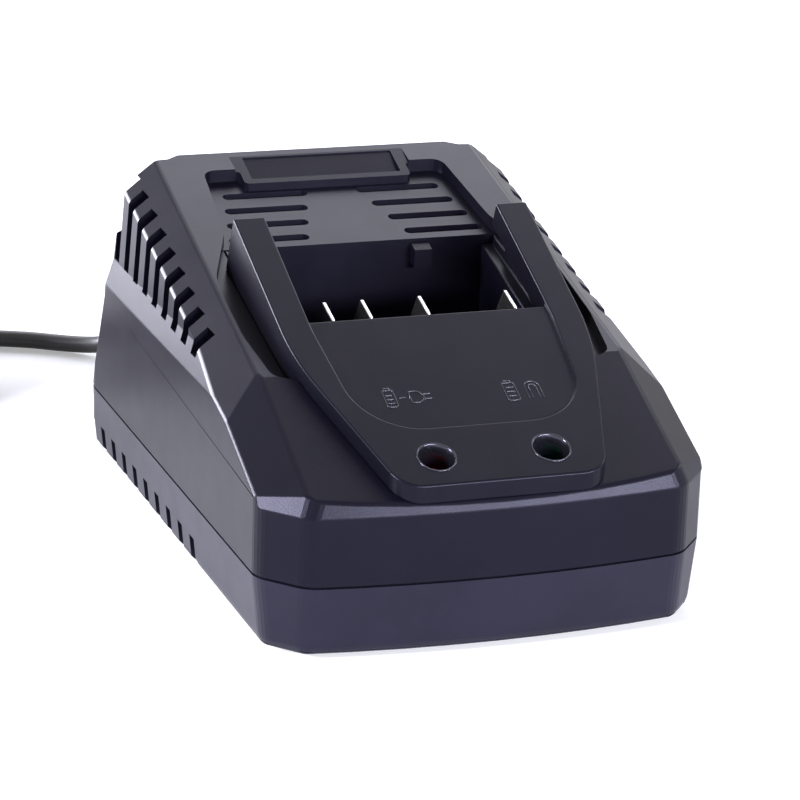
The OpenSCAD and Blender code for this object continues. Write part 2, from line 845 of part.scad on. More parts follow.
module circuit_board() {
    color([0.12, 0.36, 0.2])
    difference() {
        translate([-board_w / 2, front_y + board_front_d, board_top - board_t])
            cube([board_w, board_rear_d - board_front_d, board_t]);
        at_four(board_post_x, board_post_front_d, board_post_rear_d)
            cylinder(r = board_screw_d / 2 + 0.2, h = 40);
        for (x = blade_x)
            translate([x - blade_t / 2 - 0.2, front_y + tail_d - 1.2, 0]) cube([blade_t + 0.4, 2.4, 40]);
        at_four(boss_x, boss_front_d, boss_rear_d) cylinder(r = boss_r + 1, h = 40);
    }
}
module board_screws() {
    color("silver")
    at_four(board_post_x, board_post_front_d, board_post_rear_d)
        translate([0, 0, board_top]) {
            cylinder(r = board_head_r, h = 1.6);
            translate([0, 0, -board_t - 4]) cylinder(r = board_screw_d / 2 - 0.1, h = board_t + 4);
        }
}

xfmr_d = 66;
xfmr_w = 34;
xfmr_l = 29;
xfmr_h = 26;
leg = 6.4;
module transformer_core() {
    color([0.2, 0.2, 0.21])
    on_board(0, xfmr_d)
        translate([0, 0, 2])
            rotate([90, 0, 0]) linear_extrude(13, center = true) difference() {
                translate([-xfmr_w / 2, 0]) square([xfmr_w, xfmr_h - 2]);
                for (s = [-1, 1])
                    translate([s * (leg / 2 + 3.9) - 3.9, leg * 0.8]) square([7.8, xfmr_h - 2 - leg * 1.6]);
            }
}
module transformer_winding() {
    color([0.78, 0.66, 0.2])
    on_board(0, xfmr_d) {
        difference() {
            translate([-leg / 2 - 7.4, -xfmr_l / 2, 2 + leg * 0.8 + 0.3])
                cube([leg + 14.8, xfmr_l, xfmr_h - 2 - leg * 1.6 - 0.6]);
            translate([-leg / 2 - 0.2, -6.7, 0]) cube([leg + 0.4, 13.4, 60]);
        }
        // pin rails of the bobbin
        for (s = [-1, 1])
            translate([-leg / 2 - 7.4, s * (xfmr_l / 2 - 2) - 2, 0]) cube([leg + 14.8, 4, 2 + leg * 0.8 + 0.4]);
    }
}
module bulk_capacitor() {
    color([0.15, 0.17, 0.3])
    on_board(-22, 98) difference() {
        cylinder(d = 18, h = 28);
        translate([0, 0, 27.6]) ring(8.2, 7, 2);
    }
}
module output_capacitors() {
    color([0.1, 0.12, 0.16])
    for (y = [50, 62]) on_board(-26, y) difference() {
        cylinder(d = 10, h = 20);
        translate([0, 0, 19.7]) ring(4.4, 3.8, 2);
    }
}
sink_x = 24;
sink_l = 34;
sink_gap = 6.6;                             // from the sink to the heads of the board's screws
sink_d = board_post_rear_d - board_head_r - sink_gap - sink_l / 2;
module heat_sink() {
    color([0.75, 0.75, 0.77])
    on_board(sink_x, sink_d) {
        translate([-2, -sink_l / 2, 0]) cube([2, sink_l, 28]);
        for (k = [0:5])
            translate([-0.1, -sink_l / 2 + k * (sink_l - 1.8) / 5, 0]) cube([8, 1.8, 28]);
    }
}
module switching_transistor() {
    color([0.1, 0.1, 0.1])
    on_board(sink_x - 2, sink_d - 8) {
        translate([-1.3, -5, 8]) cube([1.3, 10, 16]);
        translate([-4.5, -5, 8]) cube([3.3, 10, 9]);
        for (k = [-1:1]) translate([-2.9, k * 2.54 - 0.4, -3]) cube([0.6, 0.8, 11.2]);
    }
}
module rectifier_diode() {
    color([0.12, 0.12, 0.12])
    on_board(sink_x - 2, sink_d + 8) {
        translate([-1.3, -5, 8]) cube([1.3, 10, 16]);
        translate([-4.5, -5, 8]) cube([3.3, 10, 9]);
        for (k = [-1, 1]) translate([-2.9, k * 2.54 - 0.4, -3]) cube([0.6, 0.8, 11.2]);
    }
}
module sink_screws() {
    color("silver")
    for (s = [-1, 1])
        on_board(sink_x - 3.3, sink_d + s * 8)
            translate([0, 0, 21]) rotate([0, -90, 0]) cylinder(r = 2.6, h = 1.8);
}
module bridge_rectifier() {
    color([0.13, 0.13, 0.14])
    on_board(0, 112) {
        translate([-10, -2, 2.6]) cube([20, 4, 15]);
        for (k = [-1.5:1:1.5]) translate([k * 5 - 0.5, -0.4, -3]) cube([1, 0.8, 6]);
    }
}
module line_filter() {
    color([0.7, 0.42, 0.2])
    on_board(-1, 94) translate([0, 0, 9.4]) rotate([90, 0, 0]) difference() {
        translate([0, 0, -5]) cylinder(d = 18.6, h = 10);
        translate([0, 0, -6]) cylinder(d = 7, h = 12);
    }
}
module filter_capacitor() {
    color([0.75, 0.7, 0.25])
    on_board(0, 121) translate([-8, -3.5, 0]) cube([16, 7, 13]);
}
module fuse() {
    color([0.6, 0.6, 0.62])
    on_board(14.5, 120) {
        cylinder(d = 8.4, h = 8);
        for (s = [-1, 1]) translate([s * 2.5 - 0.3, -0.3, -3]) cube([0.6, 0.6, 3.2]);
    }
}
module controller_chip() {
    color([0.1, 0.1, 0.11])
    on_board(14, 26) {
        translate([-6.5, -3.2, 0.4]) cube([13, 6.4, 2.2]);
        for (k = [0:6])
            for (s = [-1, 1])
                translate([-5.4 + k * 1.7, s * 3.9 - 0.7, 0]) cube([0.6, 1.4, 0.9]);
    }
}
module optocoupler() {
    color([0.92, 0.92, 0.9])
    on_board(24, 58) {
        translate([-3.2, -2.4, 0.8]) cube([6.4, 4.8, 3.4]);
        for (sx = [-1, 1])
            for (s = [-1, 1])
                translate([sx * 3.4 - 0.5, s * 1.27 - 0.3, -2.5]) cube([0.8, 0.6, 4.6]);
    }
}

// ---- cord --------------------------------------------------------------------------------------

cord_r = cord_d / 2;
tube_sides = 8;

// Tube swept along points, rings square to the route; the ends are closed
function span(a, b) = unit(b - a);
function heading_at(path, i) =
    i == 0 ? span(path[0], path[1])
    : i == len(path) - 1 ? span(path[i - 1], path[i])
    : unit(span(path[i - 1], path[i]) + span(path[i], path[i + 1]));
function ring_at(p, dir, r, sides) =
    let (side = unit(cross(dir, [0, 0, 1])), top = cross(side, dir))
    [for (k = [0:sides - 1])
        p + r * (cos(360 * (k + 0.5) / sides) * side + sin(360 * (k + 0.5) / sides) * top)];
module tube(path, r, sides) {
    n = len(path);
    rings = [for (i = [0:n - 1]) each ring_at(path[i], heading_at(path, i), r, sides)];
    walls = [for (i = [0:n - 2]) for (k = [0:sides - 1])
        let (a = i * sides + k, b = i * sides + (k + 1) % sides)
        each [[a, b + sides, b], [a, a + sides, b + sides]]];
    start = [for (k = [1:sides - 2]) [0, k, k + 1]];
    end = [for (k = [1:sides - 2]) [(n - 1) * sides, (n - 1) * sides + k + 1, (n - 1) * sides + k]];
    polyhedron(points = rings, faces = concat(walls, start, end));
}

relief_l = 24;
relief_end_y = rear_y + relief_l;
cord_z = cord_r + 0.1;                      // height of the cord's middle where it lies on the table

// Route of the cord from the strain relief to the coil, chosen by hand
cord_points = [
    [-20, relief_end_y, gland_z], [-20, relief_end_y + 5, gland_z - 0.5],
    [-20.2, relief_end_y + 10, gland_z - 2.1], [-20.8, relief_end_y + 15, gland_z - 4.8],
    [-21.8, relief_end_y + 20, gland_z - 8.2], [-23.3, relief_end_y + 25, gland_z - 11.7],
    [-25.5, relief_end_y + 30, cord_z + 3.6], [-28.4, relief_end_y + 35, cord_z + 1.5],
    [-32.2, relief_end_y + 39.5, cord_z + 0.4], [-37, relief_end_y + 43.5, cord_z],
    [-42.5, relief_end_y + 47, cord_z], [-49, relief_end_y + 50, cord_z],
    [-56, relief_end_y + 52.4, cord_z], [-64, relief_end_y + 54.4, cord_z],
    [-72, relief_end_y + 55.7, cord_z], [-80, relief_end_y + 56.4, cord_z + 0.2],
    [-89, relief_end_y + 56.6, cord_z + 0.6], [-98, relief_end_y + 56.6, cord_z + 0.7]
];

// Coil: in along a layer, up in the half turn where it reverses, out along the next, and so on
layers = 4;
reverse = 0.5;                              // turns spent on each change of layer
layer_turns = (coil_turns_total - reverse * (layers - 1)) / layers;
coil_pitch = cord_d + 1.15;                  // spacing of the turns and of the layers
coil_r_in = coil_mid_d / 2 - coil_pitch * layer_turns / 2;
coil_r_out = coil_r_in + coil_pitch * layer_turns;
tie_t = 0.6;
coil_z = cord_points[len(cord_points) - 1][2];
coil_x = cord_points[len(cord_points) - 1][0] - cord_d;
coil_y = cord_points[len(cord_points) - 1][1] - coil_r_out;
coil_steps = 24;
layer_run = layer_turns + reverse;
function ease(x) = x * x * (3 - 2 * x);
function layer_of(s) = min(layers - 1, floor(s / layer_run));
function coil_r(s) =
    let (k = layer_of(s), along = min(layer_turns, s - k * layer_run))
    k % 2 == 0 ? coil_r_out - coil_pitch * along : coil_r_in + coil_pitch * along;
function coil_h(s) =
    let (k = layer_of(s), climb = max(0, s - k * layer_run - layer_turns) / reverse)
    coil_z + coil_pitch * (k + ease(climb));
function coil_point(s) =
    [coil_x + coil_r(s) * cos(90 + 360 * s), coil_y + coil_r(s) * sin(90 + 360 * s), coil_h(s)];
coil_turns = [for (i = [0:coil_turns_total * coil_steps]) coil_point(i / coil_steps)];
coil_out_dir = rotate_by([-1, 0], 360 * coil_turns_total);
coil_end = coil_turns[len(coil_turns) - 1] + cord_d * [coil_out_dir[0], coil_out_dir[1], 0];
coil_path = concat([cord_points[len(cord_points) - 1]], coil_turns, [coil_end]);

function route_length(path) = let (n = len(path)) n < 2 ? 0 : sum_of([for (i = [1:n - 1]) norm(path[i] - path[i - 1])]);
function sum_of(v) = v * [for (i = v) 1];
near = [for (i = [0:len(coil_turns) - 17]) for (j = [i + 16:len(coil_turns) - 1])
    norm(coil_turns[i] - coil_turns[j])];

// Last stretch, from the top of the coil down to the plug
tail_points = [for (p = [
    [0, 0, 0], [0, -6, -0.5], [0, -12, -1.9], [0, -18, -4], [0, -24, -6.4],
    [0, -30, -8.7], [0, -36, -10.5], [0, -42, -11.5], [0, -48, -11.8]
]) coil_end + p];
plug_at = tail_points[len(tail_points) - 1];
echo(coil_least_gap = min(near) - cord_d,
     cord_length = route_length(cord_points) + route_length(coil_path) + route_length(tail_points));

module mains_cord() { color([0.09, 0.09, 0.1]) tube(cord_points, cord_r, tube_sides); }
module cord_coil() { color([0.09, 0.09, 0.1]) tube(coil_path, cord_r, 6); }
module cord_tail() { color([0.09, 0.09, 0.1]) tube(tail_points, cord_r, tube_sides); }

module cord_tie() {
    low = coil_z - cord_r - 0.1;
    high = coil_z + (layers - 1) * coil_pitch + cord_r + 0.6;
    inner = coil_r_in - cord_r - 0.9;
    outer = coil_r_out + cord_r + 0.6;
    color([0.16, 0.16, 0.17])
    translate([coil_x, coil_y, 0]) along_y(7) difference() {
        polygon(rounded([
            [inner - tie_t, low - tie_t, 2], [outer + tie_t, low - tie_t, 2],
            [outer + tie_t, high + tie_t, 2], [inner - tie_t, high + tie_t, 2]
        ]));
        polygon(rounded([
            [inner, low, 1.4], [outer, low, 1.4], [outer, high, 1.4], [inner, high, 1.4]
        ]));
    }
}

// Moulded sleeve that grips the cord in the rear wall
relief_in = 8.6;
module strain_relief() {
    collar = relief_in + 0.4;
    taper_l = relief_l - 2.6;
    color([0.09, 0.09, 0.1])
    translate([gland_x, rear_y - relief_in, gland_z]) rotate([-90, 0, 0]) {
        cylinder(r = gland_r + 1.4, h = 3.2);
        cylinder(r = gland_r - snug, h = collar);
        translate([0, 0, collar]) cylinder(r = gland_r + 1, h = 2.2);
        translate([0, 0, collar + 2.2]) difference() {
            cylinder(r1 = gland_r + 0.3, r2 = cord_r + 0.8, h = taper_l);
            for (k = [0:5])
                translate([0, 0, 2 + k * 3.2])
                    ring(gland_r + 2, gland_r - 0.5 - k * (gland_r - cord_r - 0.9) / 6, 1.3);
        }
    }
}

plug_l = 34;
plug_w = 33;
plug_t = 13.4;
pin_d = 4;
pin_l = 19;
pin_gap = 18.6;
module at_plug() { translate(plug_at) rotate([0, 0, -90]) children(); }
module plug_body() {
    plan = rounded([for (p = [
        [0, -5], [14, -6.4], [20, -plug_w / 2], [plug_l, -plug_w / 2],
        [plug_l, plug_w / 2], [20, plug_w / 2], [14, 6.4], [0, 5]
    ]) [p[0], p[1], p[0] == 0 ? 1 : p[0] == plug_l ? 3 : 5]]);
    side = rounded([for (p = [
        [0, -4], [16, -plug_t / 2], [plug_l, -plug_t / 2],
        [plug_l, plug_t / 2], [16, plug_t / 2], [0, 4]
    ]) [p[0], p[1], p[0] == 0 ? 1 : 2]]);
    color([0.09, 0.09, 0.1])
    at_plug() intersection() {
        translate([0, 0, -plug_t]) linear_extrude(2 * plug_t) polygon(plan);
        rotate([90, 0, 0]) linear_extrude(2 * plug_w, center = true) polygon(side);
    }
}
module plug_pins() {
    color("silver")
    at_plug()
        for (s = [-1, 1])
            translate([plug_l, s * pin_gap / 2, 0]) rotate([0, 90, 0]) {
                cylinder(d = pin_d, h = pin_l - pin_d / 2);
                translate([0, 0, pin_l - pin_d / 2]) sphere(d = pin_d);
            }
}

// ---- leads inside ------------------------------------------------------------------------------

module mains_leads() {
    start_y = rear_y - relief_in;
    color([0.45, 0.28, 0.16])
    for (s = [-1, 1])
        tube([
            [gland_x + s * 1.6, start_y, gland_z], [gland_x + s * 1.6, start_y - 3, gland_z - 0.4],
            [gland_x + s * 2, start_y - 6, gland_z - 2.2], [gland_x + s * 2.4, start_y - 8.4, gland_z - 5],
            [gland_x + s * 2.5, start_y - 9.6, board_top + 2], [gland_x + s * 2.5, start_y - 9.8, board_top]
        ], 1.1, 6);
}
module display_lead() {
    top = [front_y + led_d + display_depth * sin(front_slope),
           dock_z(led_d) - (display_depth + display_t) * cos(front_slope)];
    color([0.7, 0.7, 0.72])
    along_x(6) polygon([
        [top[0] + 2, top[1] + 0.2], [top[0] + 3, top[1] + 0.6], [front_y + 17, 24],
        [front_y + 17.8, board_top], [front_y + 16.8, board_top], [front_y + 16, 23.6]
    ]);
}

top_cover();
base_tray();
battery_dock();
contact_block();
blade(0);  // blade_positive
blade(1);  // blade_thermal
blade(2);  // blade_coding
blade(3);  // blade_negative
red_led();
green_led();
display_board();
display_screws();
display_lead();
circuit_board();
board_screws();
transformer_core();
transformer_winding();
bulk_capacitor();
output_capacitors();
heat_sink();
switching_transistor();
rectifier_diode();
sink_screws();
bridge_rectifier();
line_filter();
filter_capacitor();
fuse();
controller_chip();
optocoupler();
mains_leads();
case_screws();
rubber_feet();
strain_relief();
mains_cord();
cord_coil();
cord_tail();
cord_tie();
plug_body();
plug_pins();
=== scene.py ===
import math

import bmesh
import bpy
from mathutils import Matrix, Vector


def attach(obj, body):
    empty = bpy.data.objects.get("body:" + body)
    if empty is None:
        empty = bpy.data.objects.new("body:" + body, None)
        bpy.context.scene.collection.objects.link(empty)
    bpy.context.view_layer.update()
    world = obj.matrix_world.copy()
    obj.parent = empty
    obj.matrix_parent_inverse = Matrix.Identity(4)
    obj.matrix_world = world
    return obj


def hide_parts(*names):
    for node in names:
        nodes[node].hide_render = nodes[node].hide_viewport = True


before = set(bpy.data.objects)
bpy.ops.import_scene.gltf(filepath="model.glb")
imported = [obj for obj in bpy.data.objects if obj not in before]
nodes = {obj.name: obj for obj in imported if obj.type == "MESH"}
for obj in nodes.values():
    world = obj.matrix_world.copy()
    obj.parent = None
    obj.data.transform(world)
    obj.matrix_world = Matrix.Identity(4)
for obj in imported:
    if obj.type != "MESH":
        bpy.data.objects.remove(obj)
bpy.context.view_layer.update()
print("frame loaded:", len(nodes), "nodes")

mm = 0.001
scene = bpy.context.scene
scene.view_settings.view_transform = "Standard"


def link(obj):
    scene.collection.objects.link(obj)
    return obj


# The photograph's viewpoint, in metres
cameraSettings = {
    "position": (-0.23335, -0.65172, 0.25302),
    "right": (0.9427, -0.3323, 0.0315),
    "up": (0.0741, 0.3004, 0.9509),
    "sensor": 36, "lens": 150.56,
    "shift": (0.00103, 0.00035),
    "near": 0.01, "far": 50,
}


def makeCamera(c):
    data = bpy.data.cameras.new("viewCamera")
    data.sensor_width = c["sensor"]
    data.lens = c["lens"]
    data.shift_x, data.shift_y = c["shift"]
    data.clip_start, data.clip_end = c["near"], c["far"]
    right = Vector(c["right"]).normalized()
    back = right.cross(Vector(c["up"])).normalized()
    up = back.cross(right)
    camera = link(bpy.data.objects.new("viewCamera", data))
    turn = Matrix((right, up, back)).transposed()
    camera.matrix_world = Matrix.Translation(c["position"]) @ turn.to_4x4()
    scene.camera = camera


makeCamera(cameraSettings)
print("camera placed")


# A node's output, so that sums and products of outputs add their Math nodes
class Wire:
    def __init__(self, graph, socket):
        self.graph, self.socket = graph, socket

    def math(self, operation, other):
        return self.graph.node("ShaderNodeMath", {"operation": operation}, {0: self, 1: other}, "Value")

    def __add__(self, other):
        return self.math("ADD", other)

    def __mul__(self, other):
        return self.math("MULTIPLY", other)

    __radd__, __rmul__ = __add__, __mul__


class Graph:
    def __init__(self, tree):
        self.tree = tree

    # Values and links of the sockets of a node that is there already
    def feed(self, node, values):
        for key, value in values.items():
            if isinstance(value, Wire):
                self.tree.links.new(value.socket, node.inputs[key])
            else:
                node.inputs[key].default_value = value

    # The settings come first, because some of them change which sockets a node has
    def node(self, kind, settings=None, values=None, output=None):
        node = self.tree.nodes.new(kind)
        for key, value in (settings or {}).items():
            setattr(node, key, value)
        self.feed(node, values or {})
        return node if output is None else Wire(self, node.outputs[output])


finishSettings = {
    "plastic": {
        "patch": (45, 3.0, 0.6), "patchSpan": (0.3, 0.75),           # scale, detail and roughness of the noise
        "wear": (120, 2.0, 0.5), "wearDepth": 0.08, "grainDetail": 2.0, "grainRough": 0.6,
    },
    "metal": {"lines": (900, 2.0, 0.5), "lineSpan": (0.3, 0.7), "lineShade": 0.86, "lineDepth": 0.14},
    "coated": {
        "spot": (160, 2.0, 0.5), "spotSpan": (0.35, 0.7), "spotShade": 0.82, "spotDepth": 0.1, "coatRough": 0.12,
    },
    "lens": {
        "depth": (400, 1.0, 0.5), "depthSpan": (0.3, 0.8), "depthShade": 0.6, "roughSpan": 0.06,
        "index": 1.5, "glow": 0.12, "coat": 0.6, "coatRough": 0.05,
    },
}


class Finish(Graph):
    def __init__(self, name):
        self.material = bpy.data.materials.new(name)
        self.material.use_nodes = True
        super().__init__(self.material.node_tree)
        self.shader = self.tree.nodes["Principled BSDF"]
        self.place = self.node("ShaderNodeTexCoord", output="Object")

    def set(self, values):
        self.feed(self.shader, values)

    def noise(self, scale, detail, rough, stretch=None):
        place = self.place
        if stretch:
            place = self.node("ShaderNodeMapping", values={"Scale": stretch, "Vector": place}, output="Vector")
        values = {"Scale": scale, "Detail": detail, "Roughness": rough, "Vector": place}
        return self.node("ShaderNodeTexNoise", values=values, output="Fac")

    # From the first colour to the second while the mask goes through the span
    def blend(self, mask, span, first, second):
        factor = self.node("ShaderNodeMapRange", {"interpolation_type": "SMOOTHSTEP"},
                           {"Value": mask, "From Min": span[0], "From Max": span[1]}, "Result")
        values = {"Factor": factor, "A": (*first, 1), "B": (*second, 1)}
        return self.node("ShaderNodeMix", {"data_type": "RGBA"}, values, "Result")

    def bump(self, height, distance):
        values = {"Distance": distance, "Strength": 1.0, "Height": height}
        return self.node("ShaderNodeBump", values=values, output="Normal")


def shaded(color, share):
    return tuple(share * v for v in color)


def plastic(name, dark, light, rough, grain, grainScale, gloss=0.5, tint=(1, 1, 1)):
    f, s = Finish(name), finishSettings["plastic"]
    f.set({
        "Specular IOR Level": gloss, "Specular Tint": (*tint, 1),
        "Base Color": f.blend(f.noise(*s["patch"]), s["patchSpan"], dark, light),
        "Roughness": f.noise(*s["wear"]) * s["wearDepth"] + (rough - s["wearDepth"] / 2),
        "Normal": f.bump(f.noise(grainScale, s["grainDetail"], s["grainRough"]), grain),
    })
    return f.material


def metal(name, color, rough, streak=(1, 1, 12)):
    f, s = Finish(name), finishSettings["metal"]
    lines = f.noise(*s["lines"], streak)
    f.set({
        "Metallic": 1.0,
        "Base Color": f.blend(lines, s["lineSpan"], shaded(color, s["lineShade"]), color),
        "Roughness": lines * s["lineDepth"] + (rough - s["lineDepth"] / 2),
    })
    return f.material


def coated(name, color, rough, coat=0.0):
    f, s = Finish(name), finishSettings["coated"]
    spot = f.noise(*s["spot"])
    f.set({
        "Coat Weight": coat, "Coat Roughness": s["coatRough"],
        "Base Color": f.blend(spot, s["spotSpan"], color, shaded(color, s["spotShade"])),
        "Roughness": spot * s["spotDepth"] + (rough - s["spotDepth"] / 2),
    })
    return f.material


def clearLens(name, color, rough):
    f, s = Finish(name), finishSettings["lens"]
    depth = f.noise(*s["depth"])
    f.set({
        "IOR": s["index"], "Emission Color": (*color, 1), "Emission Strength": s["glow"],
        "Coat Weight": s["coat"], "Coat Roughness": s["coatRough"],
        "Base Color": f.blend(depth, s["depthSpan"], color, shaded(color, s["depthShade"])),
        "Roughness": depth * s["roughSpan"] + rough,
    })
    return f.material


lavender = (0.78, 0.78, 1.0)        # tint of the case's highlights
finishes = {
    "shell": plastic("shellPlastic", (0.003, 0.0026, 0.0062), (0.0042, 0.0037, 0.0085),
                     rough=0.33, grain=0.00002, grainScale=2300, gloss=0.15, tint=lavender),
    "tray": plastic("trayPlastic", (0.0065, 0.006, 0.013), (0.0088, 0.0082, 0.017),
                    rough=0.38, grain=0.00002, grainScale=2300, gloss=0.27, tint=lavender),
    "dock": plastic("dockPlastic", (0.0028, 0.0026, 0.0055), (0.0038, 0.0035, 0.007),
                    rough=0.3, grain=0.000012, grainScale=2600, gloss=0.15, tint=lavender),
    "well": plastic("wellGloss", (0.006, 0.006, 0.008), (0.008, 0.008, 0.011),
                    rough=0.2, grain=0.00001, grainScale=900, gloss=0.7, tint=lavender),
    "carrier": plastic("carrierPlastic", (0.012, 0.012, 0.014), (0.018, 0.018, 0.02),
                       rough=0.5, grain=0.00003, grainScale=2400),
    "blade": metal("bladeNickel", (0.62, 0.61, 0.60), 0.22),
    "redLens": clearLens("redLens", (0.8, 0.02, 0.06), 0.12),
    "greenLens": clearLens("greenLens", (0.02, 0.5, 0.26), 0.12),
    "board": coated("boardResin", (0.02, 0.13, 0.055), 0.35, coat=0.4),
    "screw": metal("screwZinc", (0.62, 0.62, 0.63), 0.33),
    "ribbon": coated("ribbonGrey", (0.42, 0.42, 0.44), 0.5),
    "ferrite": coated("ferriteDark", (0.035, 0.035, 0.04), 0.62),
    "tape": coated("windingTape", (0.72, 0.5, 0.06), 0.3, coat=0.3),
    "can": coated("canSleeve", (0.02, 0.025, 0.07), 0.25, coat=0.4),
    "sink": metal("sinkAluminium", (0.72, 0.72, 0.74), 0.38, streak=(1, 1, 20)),
    "package": coated("packageBlack", (0.025, 0.025, 0.028), 0.55),
    "copper": coated("enamelCopper", (0.55, 0.2, 0.07), 0.22, coat=0.5),
    "film": coated("filmYellow", (0.62, 0.5, 0.08), 0.35, coat=0.2),
    "fuseBody": coated("fuseBrown", (0.08, 0.035, 0.02), 0.4),
    "palePackage": coated("packagePale", (0.72, 0.72, 0.7), 0.45),
    "insulation": coated("leadBrown", (0.22, 0.09, 0.035), 0.45),
    "rubber": plastic("footRubber", (0.02, 0.02, 0.021), (0.03, 0.03, 0.032),
                      rough=0.75, grain=0.00005, grainScale=1500),
    "jacket": plastic("cordJacket", (0.012, 0.012, 0.014), (0.018, 0.018, 0.02),
                      rough=0.46, grain=0.00003, grainScale=1800),
    "tie": plastic("tiePlastic", (0.05, 0.05, 0.055), (0.065, 0.065, 0.07),
                   rough=0.45, grain=0.00002, grainScale=2000),
    "pin": metal("pinNickel", (0.78, 0.75, 0.70), 0.2, streak=(12, 12, 1)),
}

finishOf = {
    "top_cover": "shell", "base_tray": "tray", "battery_dock": "dock", "contact_block": "carrier",
    "blade_positive": "blade", "blade_thermal": "blade", "blade_coding": "blade", "blade_negative": "blade",
    "red_led": "redLens", "green_led": "greenLens", "display_board": "board", "display_screws": "screw",
    "display_lead": "ribbon", "circuit_board": "board", "board_screws": "screw",
    "transformer_core": "ferrite", "transformer_winding": "tape", "bulk_capacitor": "can",
    "output_capacitors": "can", "heat_sink": "sink", "switching_transistor": "package",
    "rectifier_diode": "package", "sink_screws": "screw", "bridge_rectifier": "package",
    "line_filter": "copper", "filter_capacitor": "film", "fuse": "fuseBody",
    "controller_chip": "package", "optocoupler": "palePackage", "mains_leads": "insulation",
    "case_screws": "screw", "rubber_feet": "rubber", "strain_relief": "jacket", "mains_cord": "jacket",
    "cord_coil": "jacket", "cord_tail": "jacket", "cord_tie": "tie", "plug_body": "jacket", "plug_pins": "pin",
}
for nodeName, finishName in finishOf.items():
    mesh = nodes[nodeName].data
    mesh.materials.clear()
    mesh.materials.append(finishes[finishName])
print("finishes set on", len(finishOf), "nodes")


# One tube from the strain relief through the coil to the plug, in mm, where the solids of the cord lie
cordSettings = {
    "diameter": 4.2, "sides": 20,
    "reliefEnd": 99.0, "exitHeight": 20.2, "restHeight": 2.2,
    "turns": 9.25, "layers": 4, "middle": 50.0, "spacing": 5.35, "stepsPerTurn": 24,
    "reverse": 0.5,                 # share of a turn in which the coil climbs to its next layer
    "startAngle": 90,
    "tailStep": 6, "tailDrops": [0, 0.5, 1.9, 4, 6.4, 8.7, 10.5, 11.5, 11.8],
    "smoothSteps": 3,
}


def cordRoute(c):
    end, top, low = c["reliefEnd"], c["exitHeight"], c["restHeight"]
    first = [
        (-20, end, top), (-20, end + 5, top - 0.5), (-20.2, end + 10, top - 2.1),
        (-20.8, end + 15, top - 4.8), (-21.8, end + 20, top - 8.2), (-23.3, end + 25, top - 11.7),
        (-25.5, end + 30, low + 3.6), (-28.4, end + 35, low + 1.5), (-32.2, end + 39.5, low + 0.4),
        (-37, end + 43.5, low), (-42.5, end + 47, low), (-49, end + 50, low), (-56, end + 52.4, low),
        (-64, end + 54.4, low), (-72, end + 55.7, low), (-80, end + 56.4, low + 0.2),
        (-89, end + 56.6, low + 0.6), (-98, end + 56.6, low + 0.7),
    ]
    perLayer = (c["turns"] - c["reverse"] * (c["layers"] - 1)) / c["layers"]
    run = perLayer + c["reverse"]
    inner = c["middle"] / 2 - c["spacing"] * perLayer / 2
    outer = inner + c["spacing"] * perLayer
    startX, startY, startZ = first[-1]
    centreX, centreY = startX - c["diameter"], startY - outer

    def coilPoint(turn):
        layer = min(c["layers"] - 1, math.floor(turn / run))
        along = min(perLayer, turn - layer * run)
        inward = layer % 2 == 0
        radius = outer - c["spacing"] * along if inward else inner + c["spacing"] * along
        climb = max(0, turn - layer * run - perLayer) / c["reverse"]
        climb = climb * climb * (3 - 2 * climb)
        a = math.radians(c["startAngle"] + 360 * turn)
        height = startZ + c["spacing"] * (layer + climb)
        return (centreX + radius * math.cos(a), centreY + radius * math.sin(a), height)

    steps = int(c["turns"] * c["stepsPerTurn"])
    coil = [coilPoint(i / c["stepsPerTurn"]) for i in range(steps + 1)]
    outX, outY, outZ = coil[-1]
    outY -= c["diameter"]
    tail = [(outX, outY - c["tailStep"] * i, outZ - drop) for i, drop in enumerate(c["tailDrops"])]
    return [Vector(p) * mm for p in first + coil + tail]


# A smooth curve through the points
def smoothRoute(points, steps):
    dense = []
    for i in range(len(points) - 1):
        a, b = points[max(0, i - 1)], points[i]
        c, d = points[i + 1], points[min(len(points) - 1, i + 2)]
        for k in range(steps):
            t = k / steps
            dense.append(0.5 * ((2 * b) + (c - a) * t + (2 * a - 5 * b + 4 * c - d) * t * t
                                + (3 * b - a - 3 * c + d) * t * t * t))
    return dense + [points[-1]]


def routeCurve(name, points):
    data = bpy.data.curves.new(name, "CURVE")
    data.dimensions = "3D"
    spline = data.splines.new("POLY")
    spline.points.add(len(points) - 1)
    for target, p in zip(spline.points, points):
        target.co = (*p, 1)
    return link(bpy.data.objects.new(name, data))


def tubeTree(material):
    tree = bpy.data.node_groups.new("tubeAlongRoute", "GeometryNodeTree")
    socket = tree.interface.new_socket
    socket("Geometry", in_out="OUTPUT", socket_type="NodeSocketGeometry")
    socket("Geometry", in_out="INPUT", socket_type="NodeSocketGeometry")
    inputs = {"radius": socket("Radius", in_out="INPUT", socket_type="NodeSocketFloat"),
              "sides": socket("Sides", in_out="INPUT", socket_type="NodeSocketInt")}
    g = Graph(tree)
    start = g.node("NodeGroupInput")
    route, radius, sides = (Wire(g, start.outputs[k]) for k in ("Geometry", "Radius", "Sides"))
    ring = g.node("GeometryNodeCurvePrimitiveCircle", values={"Radius": radius, "Resolution": sides}, output="Curve")
    tube = g.node("GeometryNodeCurveToMesh",
                  values={"Curve": route, "Profile Curve": ring, "Fill Caps": True}, output="Mesh")
    tube = g.node("GeometryNodeSetShadeSmooth", values={"Geometry": tube}, output="Geometry")
    tube = g.node("GeometryNodeRealizeInstances", values={"Geometry": tube}, output="Geometry")
    tube = g.node("GeometryNodeSetMaterial", values={"Geometry": tube, "Material": material}, output="Geometry")
    g.node("NodeGroupOutput", values={"Geometry": tube})
    return tree, inputs


